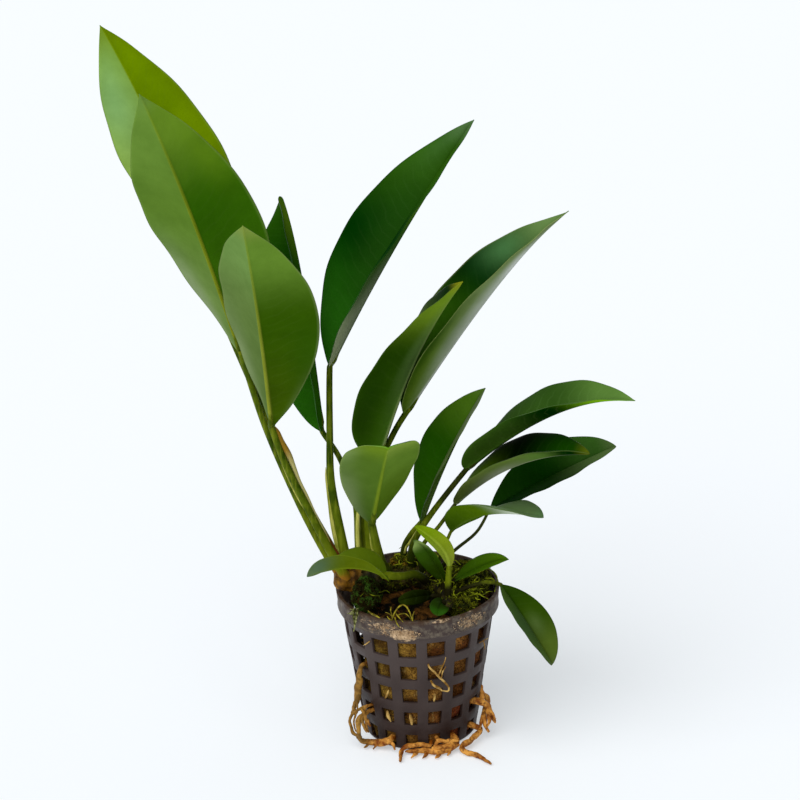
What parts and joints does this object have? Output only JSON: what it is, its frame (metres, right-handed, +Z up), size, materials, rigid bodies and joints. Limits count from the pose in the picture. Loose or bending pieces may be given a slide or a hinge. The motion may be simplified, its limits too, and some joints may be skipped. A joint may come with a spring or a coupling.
{
  "type": "potted anubias",
  "caption": "Water plant with stiff folded leaves on stalks, a creeping rhizome, moss and bare roots, growing from a small round lattice basket.",
  "frame": {"origin": "middle of the basket's foot, on the surface that the basket stands on", "axes": "+Z up along the basket's axis, +X to the right and -Y towards the viewer as in the picture"},
  "size_m": [0.15, 0.0766, 0.2267],
  "materials": {
    "basket_plastic": "matte",
    "fibre": "matte",
    "moss": "matte",
    "rhizome_skin": "satin",
    "root_skin": "satin",
    "leaf": "satin",
    "stalk": "satin"
  },
  "bodies": {
    "root": {"net_pot": "basket_plastic", "growing_plug": "fibre", "leaf_left_back": "leaf", "leaf_left_tall": "leaf", "leaf_left_front": "leaf", "leaf_dark_left": "leaf", "leaf_dark_tall": "leaf", "leaf_dark_right": "leaf", "leaf_olive_middle": "leaf", "leaf_front_heart": "leaf", "leaf_middle_right": "leaf", "leaf_arching_right": "leaf", "leaf_low_right": "leaf", "leaf_far_right": "leaf", "leaf_curled_right": "leaf", "leaf_new_bright": "leaf", "leaf_new_dark": "leaf", "leaf_low_left": "leaf", "leaf_rim_right": "leaf", "leaf_hanging_right": "leaf", "leaf_small_front": "leaf", "leaf_rim_bud": "leaf", "stalk_left_back": "stalk", "stalk_left_tall": "stalk", "stalk_left_front": "stalk", "stalk_dark_left": "stalk", "stalk_dark_tall": "stalk", "stalk_dark_right": "stalk", "stalk_olive_middle": "stalk", "stalk_front_heart": "stalk", "stalk_middle_right": "stalk", "stalk_arching_right": "stalk", "stalk_low_right": "stalk", "stalk_far_right": "stalk", "stalk_curled_right": "stalk", "stalk_new_bright": "stalk", "stalk_new_dark": "stalk", "stalk_low_left": "stalk", "stalk_rim_right": "stalk", "stalk_hanging_right": "stalk", "stalk_small_front": "stalk", "stalk_rim_bud": "stalk", "rhizome_left": "rhizome_skin", "rhizome_right": "rhizome_skin", "rhizome_front": "rhizome_skin", "root_left_strand": "root_skin", "root_left_loop": "root_skin", "root_left_knot": "root_skin", "root_foot_left": "root_skin", "root_front_left": "root_skin", "root_front_middle": "root_skin", "root_front_right": "root_skin", "root_right": "root_skin", "root_right_curl": "root_skin", "root_right_knot": "root_skin", "root_over_rim": "root_skin", "moss_right": "moss", "moss_left": "moss", "moss_front_right": "moss"}
  },
  "joints": []
}
